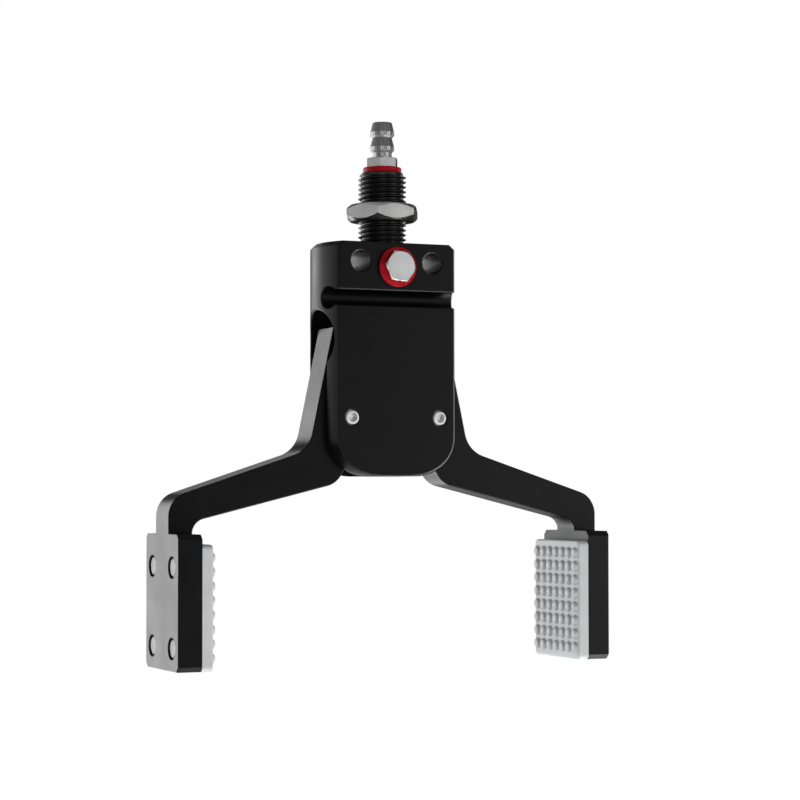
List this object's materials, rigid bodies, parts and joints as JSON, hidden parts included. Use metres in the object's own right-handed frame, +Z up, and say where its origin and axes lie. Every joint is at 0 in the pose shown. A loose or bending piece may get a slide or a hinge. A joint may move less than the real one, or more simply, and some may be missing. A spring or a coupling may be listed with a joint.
{
  "type": "wide-opening pneumatic gripper",
  "caption": "Slim pneumatic gripper with a threaded stem and hose nipple; hinged wide-opening arms carry nubbed soft pads for picking light parts.",
  "frame": {"origin": "on the stem's axis, in the top face of the body, where a bracket or the mating part's face comes to lie", "axes": "+Z up the stem, away from the jaws; the arms spread along X; the flat with the sensor groove and the plugged port faces -Y"},
  "size_m": [0.096, 0.02, 0.1123],
  "materials": {
    "black_anodised": "black anodised, satin",
    "bare_aluminium": "turned, bare",
    "plated_steel": "satin plated",
    "ground_steel": "ground",
    "nickel_plate": "nickel plated",
    "red_seal": "red sealing fibre",
    "white_silicone": "moulded, matt",
    "black_rubber": "moulded",
    "magnet": "nickel plated magnet",
    "spring_wire": "drawn wire"
  },
  "bodies": {
    "frame": {"body": "black_anodised", "jam_nut": "plated_steel", "hose_nipple": "nickel_plate", "nipple_seal_washer": "red_seal", "port_plug": "nickel_plate", "plug_seal_washer": "red_seal", "left_pivot_pin": "ground_steel", "right_pivot_pin": "ground_steel", "left_return_spring": "spring_wire", "right_return_spring": "spring_wire"},
    "left_arm": {"left_arm": "black_anodised", "left_pad": "white_silicone"},
    "right_arm": {"right_arm": "black_anodised", "right_pad": "white_silicone"},
    "left_piston": {"left_piston": "bare_aluminium", "left_piston_seal": "black_rubber", "left_piston_magnet": "magnet"},
    "right_piston": {"right_piston": "bare_aluminium", "right_piston_seal": "black_rubber", "right_piston_magnet": "magnet"}
  },
  "joints": [
    {"name": "left_arm_swing", "type": "hinge", "parent": "frame", "child": "left_arm", "pos_m": [-0.0098, 0, -0.036], "axis": [0, -1, 0], "range_deg": [0, 12], "stiffness_Nm_per_rad": 0.2, "springref_deg": -11.46, "deforming": ["left_return_spring"]},
    {"name": "right_arm_swing", "type": "hinge", "parent": "frame", "child": "right_arm", "pos_m": [0.0098, 0, -0.036], "axis": [0, 1, 0], "range_deg": [0, 12], "stiffness_Nm_per_rad": 0.2, "springref_deg": -11.46, "deforming": ["right_return_spring"]},
    {"name": "left_piston_stroke", "type": "slide", "parent": "frame", "child": "left_piston", "axis": [-1, 0, 0], "range_m": [0, 0.0036]},
    {"name": "right_piston_stroke", "type": "slide", "parent": "frame", "child": "right_piston", "axis": [1, 0, 0], "range_m": [0, 0.0036]}
  ],
  "couplings": [
    {"joint": "left_piston_stroke", "follows": "left_arm_swing", "m_per_rad": 0.0169},
    {"joint": "right_piston_stroke", "follows": "right_arm_swing", "m_per_rad": 0.0169}
  ]
}
